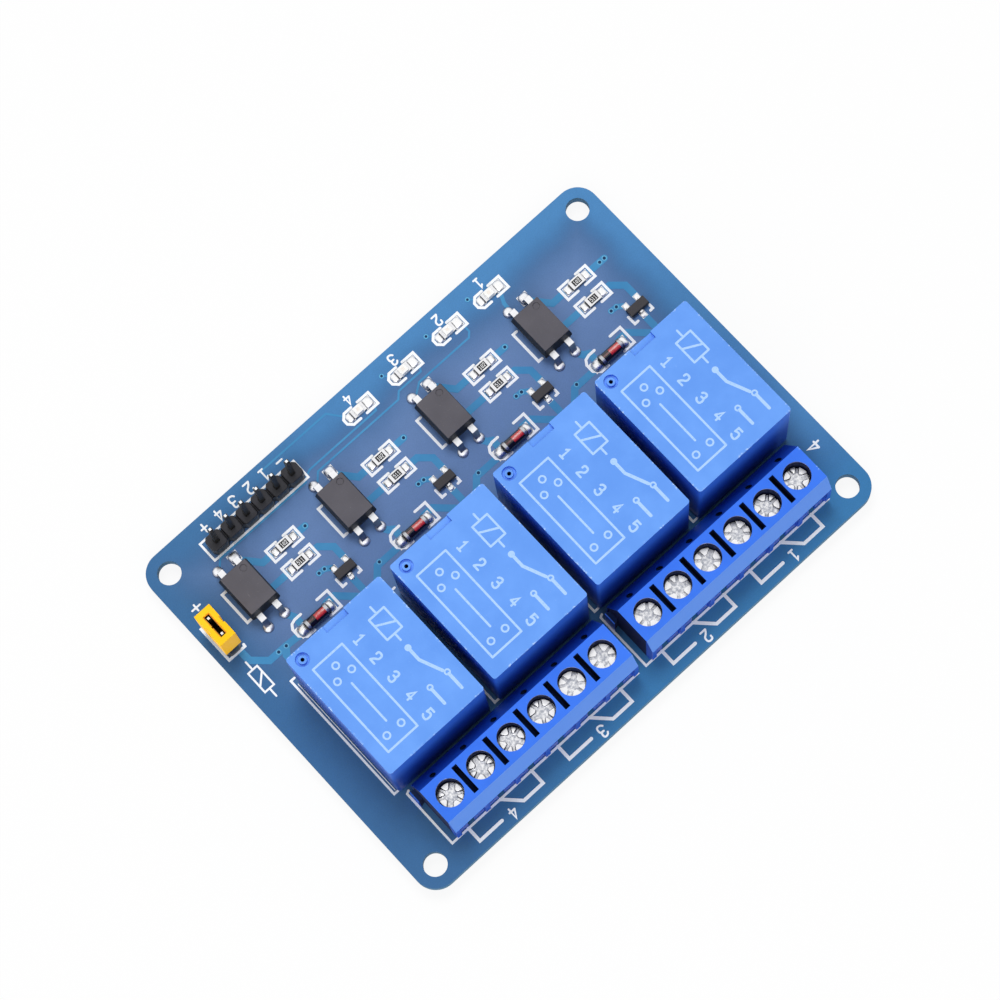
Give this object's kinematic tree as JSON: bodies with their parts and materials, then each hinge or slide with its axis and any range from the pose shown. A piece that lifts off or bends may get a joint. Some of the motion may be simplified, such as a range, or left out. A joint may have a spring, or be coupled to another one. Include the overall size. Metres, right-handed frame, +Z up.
{
  "type": "relay module board",
  "caption": "Blue circuit board with a row of sealed relays, screw terminal blocks along one edge, and optocouplers, indicator lights, a pin header and a jumper along the other.",
  "frame": {"origin": "centre of the four mounting holes, on the board's underside", "axes": "+X along the row of relays from channel four to channel one, +Y from the terminal edge to the header edge, +Z up out of the component side"},
  "size_m": [0.076, 0.056, 0.0185],
  "materials": {
    "board": "satin blue solder mask over glass laminate",
    "terminal_plastic": "satin blue moulded plastic",
    "frame_metal": "tin-plated strip",
    "screw_metal": "bright nickel plate",
    "relay_plastic": "satin blue moulded plastic with pale print",
    "pin_metal": "bright tin plate",
    "strip_plastic": "satin black plastic",
    "cap_plastic": "satin yellow plastic",
    "moulded_black": "matt black epoxy moulding",
    "lead_metal": "bright tinned lead strip",
    "resistor_body": "black glazed ceramic with white figures",
    "chip_metal": "tinned ends",
    "led_resin": "clear cast resin over a pale plate",
    "diode_glass": "orange-red glass with a black band",
    "solder": "bright solder"
  },
  "bodies": {
    "board": {"circuit_board": "board", "terminal_block_left": "terminal_plastic", "terminal_block_right": "terminal_plastic", "terminal_frames_left": "frame_metal", "terminal_frames_right": "frame_metal", "relay_1": "relay_plastic", "relay_2": "relay_plastic", "relay_3": "relay_plastic", "relay_4": "relay_plastic", "relay_pins": "pin_metal", "header_strip": "strip_plastic", "header_pins": "pin_metal", "jumper_strip": "strip_plastic", "jumper_pins": "pin_metal", "optocoupler_1": "moulded_black", "optocoupler_2": "moulded_black", "optocoupler_3": "moulded_black", "optocoupler_4": "moulded_black", "optocoupler_leads": "lead_metal", "resistor_bodies": "resistor_body", "resistor_ends": "chip_metal", "led_bodies": "led_resin", "led_ends": "chip_metal", "transistor_bodies": "moulded_black", "transistor_leads": "lead_metal", "diode_bodies": "diode_glass", "diode_ends": "chip_metal", "solder_joints": "solder"},
    "guard_1": {"wire_guard_1": "frame_metal"},
    "screw_1": {"terminal_screw_1": "screw_metal"},
    "guard_2": {"wire_guard_2": "frame_metal"},
    "screw_2": {"terminal_screw_2": "screw_metal"},
    "guard_3": {"wire_guard_3": "frame_metal"},
    "screw_3": {"terminal_screw_3": "screw_metal"},
    "guard_4": {"wire_guard_4": "frame_metal"},
    "screw_4": {"terminal_screw_4": "screw_metal"},
    "guard_5": {"wire_guard_5": "frame_metal"},
    "screw_5": {"terminal_screw_5": "screw_metal"},
    "guard_6": {"wire_guard_6": "frame_metal"},
    "screw_6": {"terminal_screw_6": "screw_metal"},
    "guard_7": {"wire_guard_7": "frame_metal"},
    "screw_7": {"terminal_screw_7": "screw_metal"},
    "guard_8": {"wire_guard_8": "frame_metal"},
    "screw_8": {"terminal_screw_8": "screw_metal"},
    "guard_9": {"wire_guard_9": "frame_metal"},
    "screw_9": {"terminal_screw_9": "screw_metal"},
    "guard_10": {"wire_guard_10": "frame_metal"},
    "screw_10": {"terminal_screw_10": "screw_metal"},
    "guard_11": {"wire_guard_11": "frame_metal"},
    "screw_11": {"terminal_screw_11": "screw_metal"},
    "guard_12": {"wire_guard_12": "frame_metal"},
    "screw_12": {"terminal_screw_12": "screw_metal"},
    "jumper": {"jumper_cap": "cap_plastic", "jumper_clip": "frame_metal"}
  },
  "joints": [
    {"name": "guard_lift_1", "type": "slide", "parent": "board", "child": "guard_1", "axis": [0, 0, 1], "range_m": [0, 0.0018]},
    {"name": "screw_turn_1", "type": "hinge", "parent": "guard_1", "child": "screw_1", "pos_m": [-0.0282, -0.02115, 0.008], "axis": [0, 0, 1], "range_deg": [0, 1296]},
    {"name": "guard_lift_2", "type": "slide", "parent": "board", "child": "guard_2", "axis": [0, 0, 1], "range_m": [0, 0.0018]},
    {"name": "screw_turn_2", "type": "hinge", "parent": "guard_2", "child": "screw_2", "pos_m": [-0.0232, -0.02115, 0.008], "axis": [0, 0, 1], "range_deg": [0, 1296]},
    {"name": "guard_lift_3", "type": "slide", "parent": "board", "child": "guard_3", "axis": [0, 0, 1], "range_m": [0, 0.0018]},
    {"name": "screw_turn_3", "type": "hinge", "parent": "guard_3", "child": "screw_3", "pos_m": [-0.0182, -0.02115, 0.008], "axis": [0, 0, 1], "range_deg": [0, 1296]},
    {"name": "guard_lift_4", "type": "slide", "parent": "board", "child": "guard_4", "axis": [0, 0, 1], "range_m": [0, 0.0018]},
    {"name": "screw_turn_4", "type": "hinge", "parent": "guard_4", "child": "screw_4", "pos_m": [-0.0132, -0.02115, 0.008], "axis": [0, 0, 1], "range_deg": [0, 1296]},
    {"name": "guard_lift_5", "type": "slide", "parent": "board", "child": "guard_5", "axis": [0, 0, 1], "range_m": [0, 0.0018]},
    {"name": "screw_turn_5", "type": "hinge", "parent": "guard_5", "child": "screw_5", "pos_m": [-0.0082, -0.02115, 0.008], "axis": [0, 0, 1], "range_deg": [0, 1296]},
    {"name": "guard_lift_6", "type": "slide", "parent": "board", "child": "guard_6", "axis": [0, 0, 1], "range_m": [0, 0.0018]},
    {"name": "screw_turn_6", "type": "hinge", "parent": "guard_6", "child": "screw_6", "pos_m": [-0.0032, -0.02115, 0.008], "axis": [0, 0, 1], "range_deg": [0, 1296]},
    {"name": "guard_lift_7", "type": "slide", "parent": "board", "child": "guard_7", "axis": [0, 0, 1], "range_m": [0, 0.0018]},
    {"name": "screw_turn_7", "type": "hinge", "parent": "guard_7", "child": "screw_7", "pos_m": [0.0044, -0.02115, 0.008], "axis": [0, 0, 1], "range_deg": [0, 1296]},
    {"name": "guard_lift_8", "type": "slide", "parent": "board", "child": "guard_8", "axis": [0, 0, 1], "range_m": [0, 0.0018]},
    {"name": "screw_turn_8", "type": "hinge", "parent": "guard_8", "child": "screw_8", "pos_m": [0.0094, -0.02115, 0.008], "axis": [0, 0, 1], "range_deg": [0, 1296]},
    {"name": "guard_lift_9", "type": "slide", "parent": "board", "child": "guard_9", "axis": [0, 0, 1], "range_m": [0, 0.0018]},
    {"name": "screw_turn_9", "type": "hinge", "parent": "guard_9", "child": "screw_9", "pos_m": [0.0144, -0.02115, 0.008], "axis": [0, 0, 1], "range_deg": [0, 1296]},
    {"name": "guard_lift_10", "type": "slide", "parent": "board", "child": "guard_10", "axis": [0, 0, 1], "range_m": [0, 0.0018]},
    {"name": "screw_turn_10", "type": "hinge", "parent": "guard_10", "child": "screw_10", "pos_m": [0.0194, -0.02115, 0.008], "axis": [0, 0, 1], "range_deg": [0, 1296]},
    {"name": "guard_lift_11", "type": "slide", "parent": "board", "child": "guard_11", "axis": [0, 0, 1], "range_m": [0, 0.0018]},
    {"name": "screw_turn_11", "type": "hinge", "parent": "guard_11", "child": "screw_11", "pos_m": [0.0244, -0.02115, 0.008], "axis": [0, 0, 1], "range_deg": [0, 1296]},
    {"name": "guard_lift_12", "type": "slide", "parent": "board", "child": "guard_12", "axis": [0, 0, 1], "range_m": [0, 0.0018]},
    {"name": "screw_turn_12", "type": "hinge", "parent": "guard_12", "child": "screw_12", "pos_m": [0.0294, -0.02115, 0.008], "axis": [0, 0, 1], "range_deg": [0, 1296]},
    {"name": "jumper_pull", "type": "slide", "parent": "board", "child": "jumper", "axis": [0, 0, 1], "range_m": [0, 0.008]}
  ],
  "couplings": [
    {"joint": "screw_turn_1", "follows": "guard_lift_1", "rad_per_m": 12566},
    {"joint": "screw_turn_2", "follows": "guard_lift_2", "rad_per_m": 12566},
    {"joint": "screw_turn_3", "follows": "guard_lift_3", "rad_per_m": 12566},
    {"joint": "screw_turn_4", "follows": "guard_lift_4", "rad_per_m": 12566},
    {"joint": "screw_turn_5", "follows": "guard_lift_5", "rad_per_m": 12566},
    {"joint": "screw_turn_6", "follows": "guard_lift_6", "rad_per_m": 12566},
    {"joint": "screw_turn_7", "follows": "guard_lift_7", "rad_per_m": 12566},
    {"joint": "screw_turn_8", "follows": "guard_lift_8", "rad_per_m": 12566},
    {"joint": "screw_turn_9", "follows": "guard_lift_9", "rad_per_m": 12566},
    {"joint": "screw_turn_10", "follows": "guard_lift_10", "rad_per_m": 12566},
    {"joint": "screw_turn_11", "follows": "guard_lift_11", "rad_per_m": 12566},
    {"joint": "screw_turn_12", "follows": "guard_lift_12", "rad_per_m": 12566}
  ]
}
